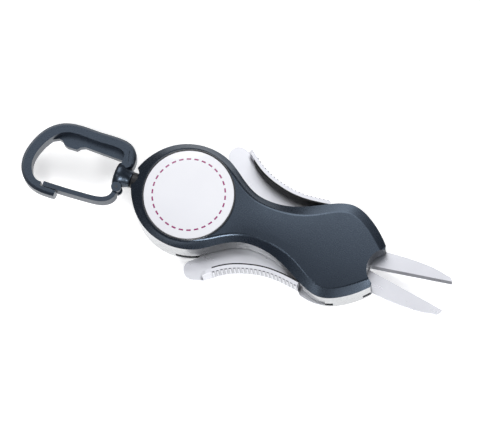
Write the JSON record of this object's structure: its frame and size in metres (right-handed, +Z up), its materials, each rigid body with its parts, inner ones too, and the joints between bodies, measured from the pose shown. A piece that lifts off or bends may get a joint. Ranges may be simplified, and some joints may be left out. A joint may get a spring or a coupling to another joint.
{
  "type": "thread snips",
  "caption": "Pocket thread snips with two crossed spring blades, squeeze levers, a round retracting-tether reel in the body and a swivelling snap hook.",
  "frame": {"origin": "reel axis on the flat back face", "axes": "+X along the body towards the blade tips, +Z up from the back face towards the badge, +Y towards the far lever"},
  "size_m": [0.1568, 0.0508, 0.0197],
  "materials": {
    "shell_black": "soft-touch satin black",
    "shell_silver": "bright silver plating",
    "badge_white": "clear-domed gloss white",
    "ring_black": "gloss black lip",
    "liner_black": "dark bonded strip",
    "blade_steel": "satin stainless",
    "fastener_steel": "zinc plated",
    "spring_steel": "blued spring steel",
    "reel_nylon": "natural nylon",
    "deck_plastic": "moulded",
    "cord": "braided",
    "eyelet_brass": "turned",
    "hook_plastic": "fine-grained",
    "gate_plastic": "fine-grained",
    "stem_black": "turned acetal"
  },
  "bodies": {
    "housing": {"housing_base": "shell_silver", "housing_top": "shell_black", "housing_screws": "fastener_steel", "badge_disc": "badge_white", "badge_ring": "ring_black", "reel_deck": "deck_plastic", "reel_spindle": "fastener_steel", "spindle_clip": "spring_steel", "power_spring": "spring_steel", "cord_eyelet": "eyelet_brass", "pivot_screw": "fastener_steel", "pivot_washer": "reel_nylon", "lever_spring": "spring_steel"},
    "reel": {"reel_drum": "reel_nylon", "spring_cover": "deck_plastic", "tether_winding": "cord"},
    "far_lever": {"lever_far": "blade_steel", "grip_liner_far": "liner_black"},
    "near_lever": {"lever_near": "blade_steel", "grip_liner_near": "liner_black"},
    "tether_end": {"swivel_stem": "stem_black", "tether_lead": "cord"},
    "hook": {"carabiner_frame": "hook_plastic", "gate_pin": "fastener_steel"},
    "gate": {"carabiner_gate": "gate_plastic"}
  },
  "joints": [
    {"name": "far_lever_squeeze", "type": "hinge", "parent": "housing", "child": "far_lever", "pos_m": [0.053, 0, 0.004], "axis": [0, 0, 1], "range_deg": [0, 7.2], "stiffness_Nm_per_rad": 1, "springref_deg": -8.59, "deforming": ["lever_spring"]},
    {"name": "near_lever_squeeze", "type": "hinge", "parent": "housing", "child": "near_lever", "pos_m": [0.053, 0, 0.0052], "axis": [0, 0, -1], "range_deg": [0, 7.2], "stiffness_Nm_per_rad": 1, "springref_deg": -8.59},
    {"name": "tether_pull", "type": "slide", "parent": "housing", "child": "tether_end", "axis": [-1, 0, 0], "range_m": [0, 0.012], "stiffness_N_per_m": 20, "springref_m": -0.05},
    {"name": "reel_turn", "type": "hinge", "parent": "housing", "child": "reel", "pos_m": [0, 0, 0.0125], "axis": [0, 0, 1], "range_deg": [0, 54]},
    {"name": "hook_swivel", "type": "hinge", "parent": "tether_end", "child": "hook", "pos_m": [-0.025, 0, 0.0095], "axis": [1, 0, 0], "continuous": true},
    {"name": "gate_open", "type": "hinge", "parent": "hook", "child": "gate", "pos_m": [-0.026, -0.0048, 0.0095], "axis": [0, 0, -1], "range_deg": [0, 15], "stiffness_Nm_per_rad": 0.05, "springref_deg": -11.46}
  ],
  "couplings": [
    {"joint": "near_lever_squeeze", "follows": "far_lever_squeeze", "ratio": 1},
    {"joint": "reel_turn", "follows": "tether_pull", "rad_per_m": 77.5}
  ]
}
